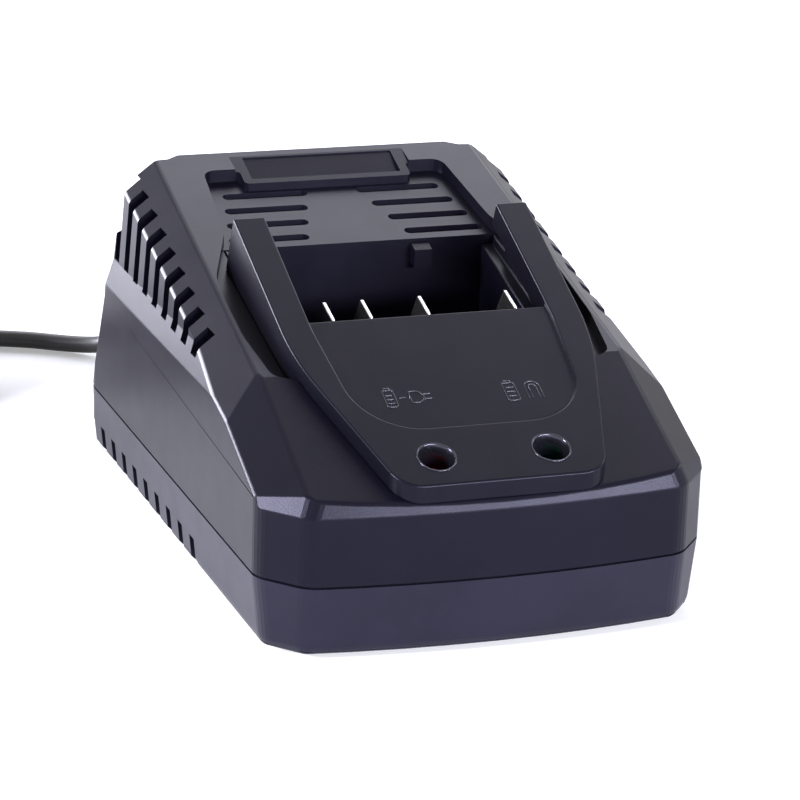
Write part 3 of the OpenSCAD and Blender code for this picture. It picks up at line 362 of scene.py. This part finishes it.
# A plain mesh of the object as its modifiers leave it
def applied(obj, name):
    shown = obj.evaluated_get(bpy.context.evaluated_depsgraph_get())
    mesh = bpy.data.meshes.new_from_object(shown)
    result = link(bpy.data.objects.new(name, mesh))
    bpy.data.objects.remove(obj)
    return result


def tubeAlong(name, points, radius, sides, material):
    curve = routeCurve(name + "Route", points)
    tree, inputs = tubeTree(material)
    modifier = curve.modifiers.new("tube", "NODES")
    modifier.node_group = tree
    modifier[inputs["radius"].identifier] = radius
    modifier[inputs["sides"].identifier] = sides
    return applied(curve, name)


def makeCord(c):
    route = smoothRoute(cordRoute(c), c["smoothSteps"])
    piece = tubeAlong("mainsCordJacket", route, c["diameter"] / 2 * mm, c["sides"], finishes["jacket"])
    length = sum((b - a).length for a, b in zip(route, route[1:]))
    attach(piece, "root")
    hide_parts("mains_cord", "cord_coil", "cord_tail")
    print("cord laid, metres:", round(length, 3))


makeCord(cordSettings)


# The case, the dock and the blades: the solids with softened edges, widths in mm and angles in degrees
bladeEdge = {"slot": "blade", "width": 0.22, "segments": 2, "angle": 30}
edgeSettings = {
    "top_cover": {"name": "coverShell", "slot": "shell", "width": 0.35, "segments": 2, "angle": 24, "outer": True},
    "base_tray": {"name": "trayShell", "slot": "shell", "width": 0.3, "segments": 2, "angle": 24, "outer": True},
    "battery_dock": {"name": "dockFrame", "slot": "dock", "width": 0.42, "segments": 3, "angle": 24},
    "blade_positive": {"name": "bladePositive", **bladeEdge},
    "blade_thermal": {"name": "bladeThermal", **bladeEdge},
    "blade_coding": {"name": "bladeCoding", **bladeEdge},
    "blade_negative": {"name": "bladeNegative", **bladeEdge},
}
meshSettings = {"merge": 1e-6, "flatAngle": 0.4}        # metres, degrees
outerSettings = {
    "corner": 2.2, "edge": 0.7, "foot": 1.1, "slight": 0.3,        # widths of the rounding
    "segments": 4,
    "reach": 3.4, "leastArea": 10.0,        # an outer face is this large, and little of the shell lies beyond it
    "leastAngle": 9, "slightAngle": 28,
    "lowShell": 20, "seamBand": 3, "footBand": 4,
    "level": 0.99, "upright": 0.9,          # how nearly a face lies level, or an edge stands upright
}


def markOuterEdges(work, s):
    points = [v.co.copy() for v in work.verts]
    outer = set()
    for face in work.faces:
        if face.calc_area() > s["leastArea"] * mm * mm:
            origin = face.verts[0].co
            if max((p - origin).dot(face.normal) for p in points) < s["reach"] * mm:
                outer.add(face)
    weights = work.edges.layers.float.new("bevel_weight_edge")
    bottom, top = min(p.z for p in points), max(p.z for p in points)
    seam = top if top < s["lowShell"] * mm else bottom      # the edges where the two shells meet stay sharp
    for edge in work.edges:
        faces = edge.link_faces
        if len(faces) != 2 or not edge.is_convex or not all(face in outer for face in faces):
            continue
        turn = math.degrees(faces[0].normal.angle(faces[1].normal))
        a, b = (v.co for v in edge.verts)
        level = any(abs(face.normal.z) > s["level"] for face in faces)
        if turn < s["leastAngle"] or (level and abs(a.z - seam) < s["seamBand"] * mm):
            continue
        if abs((b - a).normalized().z) > s["upright"]:
            width = s["corner"]
        elif max(a.z, b.z) < s["footBand"] * mm:
            width = s["foot"]
        else:
            width = s["edge"] if turn > s["slightAngle"] else s["slight"]
        edge[weights] = width / s["corner"]


# Faces count as broad from leastArea and leastWidth up, and a broad face keeps its own normal
normalSettings = {
    "leastArea": 2.0, "leastWidth": 0.5, "share": 0.15, "alike": 4.5, "turn": 40,
    "same": 0.99999, "tiny": 1e-12,
}


def evenNormals(mesh, s):
    spots = [v.co.copy() for v in mesh.vertices]
    faces = []
    for p in mesh.polygons:
        rim = sum((spots[a] - spots[b]).length for a, b in p.edge_keys)
        wide = p.area > s["leastArea"] * mm * mm and 2 * p.area / rim > s["leastWidth"] * mm
        faces.append((p.normal.copy(), p.area, wide))
    around = [[] for _ in mesh.vertices]
    for p in mesh.polygons:
        for v in p.vertices:
            around[v].append(p.index)
    alike, turn = math.cos(math.radians(s["alike"])), math.cos(math.radians(s["turn"]))
    normals = [None] * len(mesh.loops)
    for p in mesh.polygons:
        own, area, broad = faces[p.index]
        alone = broad
        for loop in p.loop_indices:
            near = [faces[i] for i in around[mesh.loops[loop].vertex_index]]
            if broad:
                close = [f for f in near if f[2] and f[1] > s["share"] * area and f[0].dot(own) > alike]
                alone = alone and all(f[0].dot(own) > s["same"] for f in close)
            else:
                close = [f for f in near if f[0].dot(own) > turn]
                wide = [f for f in close if f[2]]
                if wide:
                    close = [max(wide, key=lambda f: f[0].dot(own))]
            total = sum((f[0] * f[1] for f in close), own * s["tiny"])
            normals[loop] = tuple(total.normalized())
        p.use_smooth = not alone
    mesh.normals_split_custom_set(normals)


def softened(node, s):
    outer = s.get("outer", False)
    mesh = nodes[node].data.copy()
    work = bmesh.new()
    work.from_mesh(mesh)
    bmesh.ops.remove_doubles(work, verts=work.verts, dist=meshSettings["merge"])
    bmesh.ops.dissolve_limit(work, angle_limit=math.radians(meshSettings["flatAngle"]),
                             verts=work.verts, edges=work.edges)
    bmesh.ops.recalc_face_normals(work, faces=work.faces)
    work.normal_update()
    for face in work.faces:
        face.smooth = True
    if outer:
        markOuterEdges(work, outerSettings)
    work.to_mesh(mesh)
    work.free()
    obj = link(bpy.data.objects.new(s["name"] + "Work", mesh))
    if outer:
        rounding = obj.modifiers.new("outerRound", "BEVEL")
        rounding.width = outerSettings["corner"] * mm
        rounding.segments = outerSettings["segments"]
        rounding.limit_method = "WEIGHT"
        rounding.use_clamp_overlap = False
        rounding.miter_outer = "MITER_SHARP"
    bevel = obj.modifiers.new("softEdge", "BEVEL")
    bevel.width = s["width"] * mm
    bevel.segments = s["segments"]
    bevel.limit_method = "ANGLE"
    bevel.angle_limit = math.radians(s["angle"])
    bevel.use_clamp_overlap = outer
    piece = applied(obj, s["name"])
    evenNormals(piece.data, normalSettings)
    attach(piece, "root")
    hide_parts(node)
    print("softened", node, len(piece.data.polygons), "faces")


for nodeName, settings in edgeSettings.items():
    softened(nodeName, settings)


# The dock's sloping top, in mm: along runs back from the front of the case
slopeSettings = {
    "frontY": -71.8, "edgeHeight": 33.7, "edgeSetBack": 1.2,
    "rise": 0.44105, "angle": 23.8,         # rise for each mm back, and the same slope in degrees
    "above": 3.9,                           # of the dock's top over the cover
}


def onSlope(x, along, s, drop=0.0):
    height = s["edgeHeight"] + (along - s["edgeSetBack"]) * s["rise"] + s["above"]
    place = Matrix.Translation(Vector((x, s["frontY"] + along, height - drop)) * mm)
    return place @ Matrix.Rotation(math.radians(s["angle"]), 4, "X")


# Glossy funnels with a thin rim, in the wells of the two lights
wellSettings = {
    "across": 12.2, "along": 4.9, "sides": 56,
    "profile": [(3.72, -0.1), (3.86, 0.1), (4.02, 0.16), (4.16, 0.06), (4.12, -0.3), (2.72, -3.84), (2.62, -3.8)],
}


def makeWell(name, side, s):
    work = bmesh.new()
    rings = []
    for k in range(s["sides"]):
        a = 2 * math.pi * k / s["sides"]
        across, deep = mm * math.cos(a), mm * math.sin(a)
        rings.append([work.verts.new((r * across, r * deep, z * mm)) for r, z in s["profile"]])
    count = len(s["profile"])
    for k, ring in enumerate(rings):
        after = rings[(k + 1) % s["sides"]]
        for i in range(count):
            j = (i + 1) % count
            work.faces.new((ring[i], ring[j], after[j], after[i]))
    bmesh.ops.recalc_face_normals(work, faces=work.faces)
    for face in work.faces:
        face.smooth = True
    place = onSlope(side * s["across"], s["along"], slopeSettings)
    bmesh.ops.transform(work, matrix=place, verts=work.verts)
    mesh = bpy.data.meshes.new(name)
    work.to_mesh(mesh)
    work.free()
    mesh.materials.append(finishes["well"])
    piece = link(bpy.data.objects.new(name, mesh))
    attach(piece, "root")


makeWell("wellLeft", -1, wellSettings)
makeWell("wellRight", 1, wellSettings)
print("light wells lined")


# Outline pictograms on the panel: a battery and a plug, a battery and an arc
signSettings = {"radius": 0.16, "sides": 6, "drop": 1.0, "sink": 0.02}


def arc(cx, cy, r, first, last, steps):
    turns = [math.radians(first + (last - first) * i / steps) for i in range(steps + 1)]
    return [(cx + r * math.cos(a), cy + r * math.sin(a)) for a in turns]


def cell(x, y, w, h, corner=0.5, steps=3):
    loop = []
    for dx, dy, first in ((1, 1, 0), (-1, 1, 90), (-1, -1, 180), (1, -1, 270)):
        loop += arc(x + dx * (w / 2 - corner), y + dy * (h / 2 - corner), corner, first, first + 90, steps)
    return loop + [loop[0]]


signs = {
    "signCharging": {"x": -12.1, "along": 22.4, "strokes": [
        cell(-3.9, 0.2, 2.3, 5.0), [(-4.5, 2.7), (-4.5, 3.3), (-3.3, 3.3), (-3.3, 2.7)],
        [(-4.6, 1.2), (-3.2, 1.2)], [(-4.6, 0.0), (-3.2, 0.0)], [(-4.6, -1.2), (-3.2, -1.2)],
        [(-2.0, 0.2), (-0.6, 0.2)],
        [(0.4, 1.9), (0.4, -1.5), (1.6, -1.5)], [(0.4, 1.9), (1.6, 1.9)],
        arc(1.6, 0.2, 1.7, 90, -90, 8), [(3.3, 0.9), (4.9, 0.9)], [(3.3, -0.5), (4.9, -0.5)],
    ]},
    "signCharged": {"x": 12.9, "along": 22.0, "strokes": [
        cell(-3.0, 0.0, 2.6, 5.4), [(-3.7, 2.7), (-3.7, 3.3), (-2.3, 3.3), (-2.3, 2.7)],
        [(-3.9, 1.3), (-2.1, 1.3)], [(-3.9, 0.0), (-2.1, 0.0)], [(-3.9, -1.3), (-2.1, -1.3)],
        [(0.3, -2.4), (0.3, 1.0)] + arc(1.9, 1.0, 1.6, 180, 0, 10) + [(3.5, -2.4)],
        [(1.1, -2.4), (1.1, 0.9)] + arc(1.9, 0.9, 0.8, 180, 0, 8) + [(2.7, -2.4)],
    ]},
}


def joined(pieces, name):
    work = bmesh.new()
    for piece in pieces:
        work.from_mesh(piece.data)
        bpy.data.objects.remove(piece)
    mesh = bpy.data.meshes.new(name)
    work.to_mesh(mesh)
    work.free()
    return link(bpy.data.objects.new(name, mesh))


def makeSign(name, sign, s):
    place = onSlope(sign["x"], sign["along"], slopeSettings, s["drop"])
    lines = []
    for i, stroke in enumerate(sign["strokes"]):
        points = [place @ (Vector((x, y, -s["sink"])) * mm) for x, y in stroke]
        lines.append(tubeAlong(name + str(i), points, s["radius"] * mm, s["sides"], finishes["well"]))
    piece = joined(lines, name)
    piece.data.materials.append(finishes["well"])
    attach(piece, "root")


for signName, sign in signs.items():
    makeSign(signName, sign, signSettings)
print("pictograms drawn")


# Floor, world and lamps, in metres
studioSettings = {
    "floorSize": 6.0, "floorColor": (0.86, 0.86, 0.88), "floorLift": 0.35, "floorDrop": 0.00002,
    "worldStrength": 0.07, "worldColor": (0.93, 0.93, 1.0),
    "lampColor": (0.9, 0.9, 1.0),
    "lamps": [
        {"name": "backBox", "place": (0.42, 1.0, 0.85), "aim": (0, 0.02, 0.04), "size": (1.2, 0.7), "watts": 10},
        {"name": "leftBackBox", "place": (-0.85, 1.1, 0.28), "aim": (0, 0, 0.03), "size": (0.9, 0.5), "watts": 46},
        {"name": "leftBox", "place": (-1.12, -0.18, 0.46), "aim": (0, 0, 0.03), "size": (0.3, 0.2), "watts": 24},
        {"name": "frontBox", "place": (0.5, -1.1, 0.31), "aim": (0, 0, 0.03), "size": (1.2, 0.12), "watts": 34},
        {"name": "rightBox", "place": (1.1, 0.1, 0.5), "aim": (0, 0, 0.03), "size": (0.4, 0.4), "watts": 2},
    ],
}
white = (1, 1, 1, 1)


# 1 for what the camera sees, also in a mirror or through glass, and 0 for the light that falls on things
def seenDirectly(graph):
    path = graph.node("ShaderNodeLightPath")
    rays = ("Is Camera Ray", "Is Glossy Ray", "Is Transmission Ray")
    seen, mirrored, through = (Wire(graph, path.outputs[k]) for k in rays)
    return seen + mirrored + through


def makeFloor(s):
    half = s["floorSize"] / 2
    corners = [(-half, -half, 0), (half, -half, 0), (half, half, 0), (-half, half, 0)]
    mesh = bpy.data.meshes.new("floor")
    mesh.from_pydata(corners, [], [(0, 1, 2, 3)])
    floor = link(bpy.data.objects.new("floor", mesh))
    floor.location.z = -s["floorDrop"]
    material = bpy.data.materials.new("floorPaper")
    material.use_nodes = True
    material.node_tree.nodes.clear()
    g = Graph(material.node_tree)
    paper = g.node("ShaderNodeBsdfDiffuse", values={"Color": (*s["floorColor"], 1)}, output="BSDF")
    glow = g.node("ShaderNodeEmission", values={"Color": white, "Strength": s["floorLift"]}, output="Emission")
    lifted = g.node("ShaderNodeAddShader", values={0: paper, 1: glow}, output="Shader")
    values = {"Fac": seenDirectly(g), 1: paper, 2: lifted}
    shown = g.node("ShaderNodeMixShader", values=values, output="Shader")
    g.node("ShaderNodeOutputMaterial", values={"Surface": shown})
    mesh.materials.append(material)


def makeWorld(s):
    world = bpy.data.worlds.new("studio")
    scene.world = world
    world.use_nodes = True
    g = Graph(world.node_tree)
    dim = g.tree.nodes["Background"]
    g.feed(dim, {"Color": (*s["worldColor"], 1), "Strength": s["worldStrength"]})
    bright = g.node("ShaderNodeBackground", values={"Color": white}, output="Background")
    values = {"Fac": seenDirectly(g), 1: Wire(g, dim.outputs["Background"]), 2: bright}
    shown = g.node("ShaderNodeMixShader", values=values, output="Shader")
    g.feed(g.tree.nodes["World Output"], {"Surface": shown})


def makeLamps(s):
    for lamp in s["lamps"]:
        data = bpy.data.lights.new(lamp["name"], "AREA")
        data.shape = "RECTANGLE"
        data.size, data.size_y = lamp["size"]
        data.energy = lamp["watts"]
        data.color = s["lampColor"]
        obj = link(bpy.data.objects.new(lamp["name"], data))
        obj.location = lamp["place"]
        aim = Vector(lamp["aim"]) - Vector(lamp["place"])
        obj.rotation_mode = "QUATERNION"
        obj.rotation_quaternion = aim.to_track_quat("-Z", "Y")


makeFloor(studioSettings)
makeWorld(studioSettings)
makeLamps(studioSettings)
print("studio ready")
